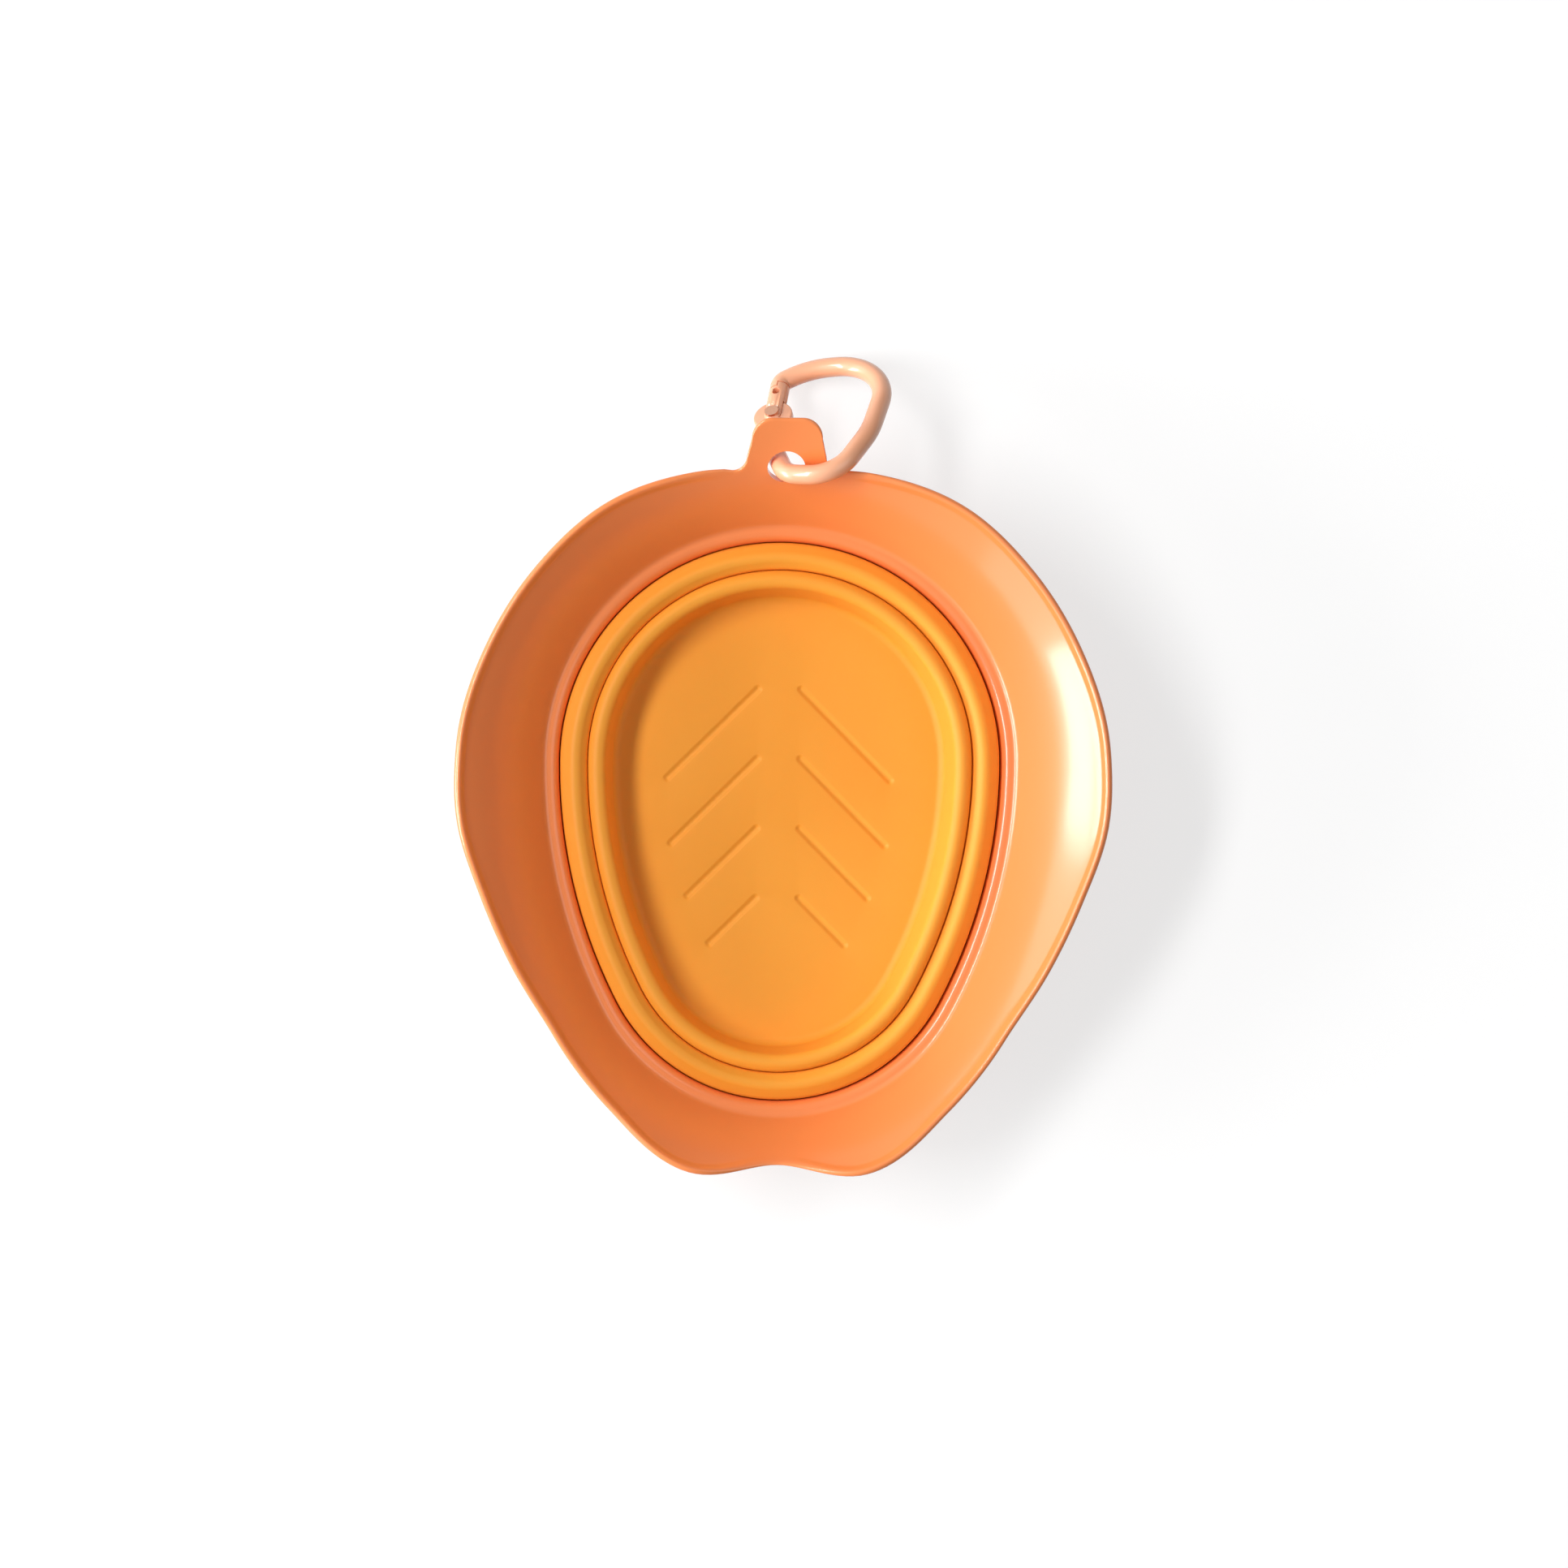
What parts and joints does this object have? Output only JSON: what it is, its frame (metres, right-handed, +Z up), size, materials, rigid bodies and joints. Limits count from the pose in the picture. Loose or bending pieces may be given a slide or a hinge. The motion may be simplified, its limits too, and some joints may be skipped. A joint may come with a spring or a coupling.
{
  "type": "collapsible pet bowl",
  "caption": "Folding travel bowl for a pet: soft concertina bowl in a flared hard collar, with a snap ring through its tab.",
  "frame": {"origin": "on the resting surface under the middle of the soft bowl's egg outline, at mid-length", "axes": "+X to the right across the bowl, +Y from the pouring notch to the tab, +Z up"},
  "size_m": [0.139, 0.1737, 0.0302],
  "materials": {
    "collar_plastic": "smooth glossy coral plastic",
    "bowl_rubber": "soft satin amber elastomer",
    "ring_paint": "glossy coral paint on aluminium",
    "pin_steel": "plain steel"
  },
  "bodies": {
    "base": {"bowl_base": "bowl_rubber"},
    "ring": {"fold_ring": "bowl_rubber", "fold_band_inner": "bowl_rubber"},
    "collar": {"collar": "collar_plastic", "bowl_flange": "bowl_rubber", "fold_band_outer": "bowl_rubber"},
    "carabiner": {"carabiner_body": "ring_paint", "hinge_rivet": "pin_steel", "gate_spring": "pin_steel"},
    "gate": {"gate": "ring_paint"}
  },
  "joints": [
    {"name": "inner_fold", "type": "slide", "parent": "base", "child": "ring", "axis": [0, 0, 1], "range_m": [0, 0.015], "deforming": ["fold_band_inner"]},
    {"name": "outer_fold", "type": "slide", "parent": "ring", "child": "collar", "axis": [0, 0, 1], "range_m": [0, 0.015], "deforming": ["fold_band_outer"]},
    {"name": "carabiner_swing", "type": "hinge", "parent": "collar", "child": "carabiner", "pos_m": [0, 0.07507, 0.02298], "axis": [-1, 0, 0], "range_deg": [-20, 20]},
    {"name": "gate_turn", "type": "hinge", "parent": "carabiner", "child": "gate", "pos_m": [-0.00231, 0.08546, 0.01124], "axis": [0.2649, -0.7071, -0.6556], "range_deg": [0, 30], "stiffness_Nm_per_rad": 0.02, "springref_deg": -17.19}
  ],
  "couplings": [
    {"joint": "inner_fold", "follows": "outer_fold", "ratio": 1}
  ]
}
